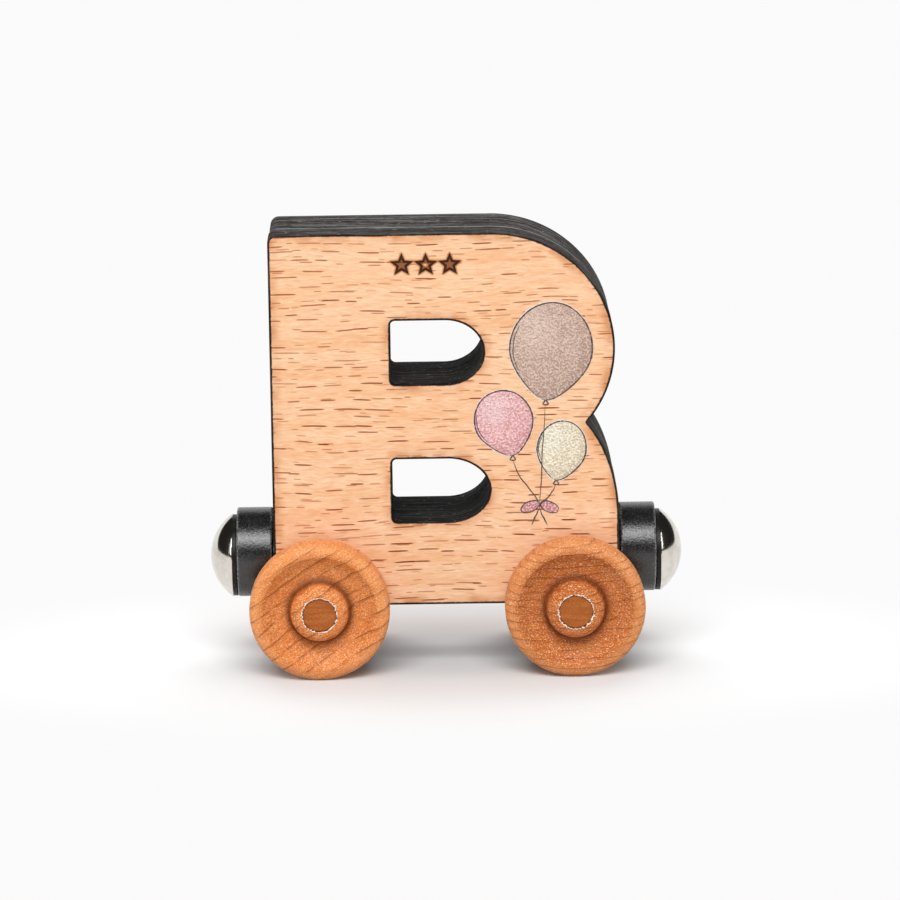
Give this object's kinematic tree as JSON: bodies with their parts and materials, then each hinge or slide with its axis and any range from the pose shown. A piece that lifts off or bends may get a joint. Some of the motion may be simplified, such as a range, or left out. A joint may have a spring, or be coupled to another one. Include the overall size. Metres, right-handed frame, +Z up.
{
  "type": "letter train car",
  "caption": "Thick wooden letter B that rolls on turned wheels glued to dowel axles, with a loose ring magnet under a domed metal cap at each end to couple toy train cars.",
  "frame": {"origin": "centre of the car on the surface that its wheels stand on", "axes": "+X along the car to the reader's right, -Y towards the reader of the front face, +Z up"},
  "size_m": [0.0866, 0.0356, 0.0808],
  "materials": {
    "letter_beech": "oiled beech with edges charred by the cutting laser",
    "wheel_wood": "oiled turned hardwood",
    "dowel_wood": "oiled dowel",
    "ferrite": "satin charcoal ferrite",
    "nickel": "polished nickel plate",
    "steel": "plain steel"
  },
  "bodies": {
    "letter": {"front_ply": "letter_beech", "core_ply": "letter_beech", "back_ply": "letter_beech", "left_nail": "steel", "left_cap_disc": "steel", "left_cap": "nickel", "right_nail": "steel", "right_cap_disc": "steel", "right_cap": "nickel"},
    "left_wheelset": {"left_axle": "dowel_wood", "left_front_wheel": "wheel_wood", "left_back_wheel": "wheel_wood"},
    "right_wheelset": {"right_axle": "dowel_wood", "right_front_wheel": "wheel_wood", "right_back_wheel": "wheel_wood"},
    "left_ring": {"left_magnet": "ferrite"},
    "right_ring": {"right_magnet": "ferrite"}
  },
  "joints": [
    {"name": "left_axle_spin", "type": "hinge", "parent": "letter", "child": "left_wheelset", "pos_m": [-0.0231, 0, 0.0127], "axis": [0, 1, 0], "continuous": true},
    {"name": "right_axle_spin", "type": "hinge", "parent": "letter", "child": "right_wheelset", "pos_m": [0.0231, 0, 0.0127], "axis": [0, 1, 0], "continuous": true},
    {"name": "left_magnet_spin", "type": "hinge", "parent": "letter", "child": "left_ring", "pos_m": [-0.035, 0, 0.0201], "axis": [1, 0, 0], "continuous": true},
    {"name": "right_magnet_spin", "type": "hinge", "parent": "letter", "child": "right_ring", "pos_m": [0.035, 0, 0.0201], "axis": [1, 0, 0], "continuous": true}
  ]
}
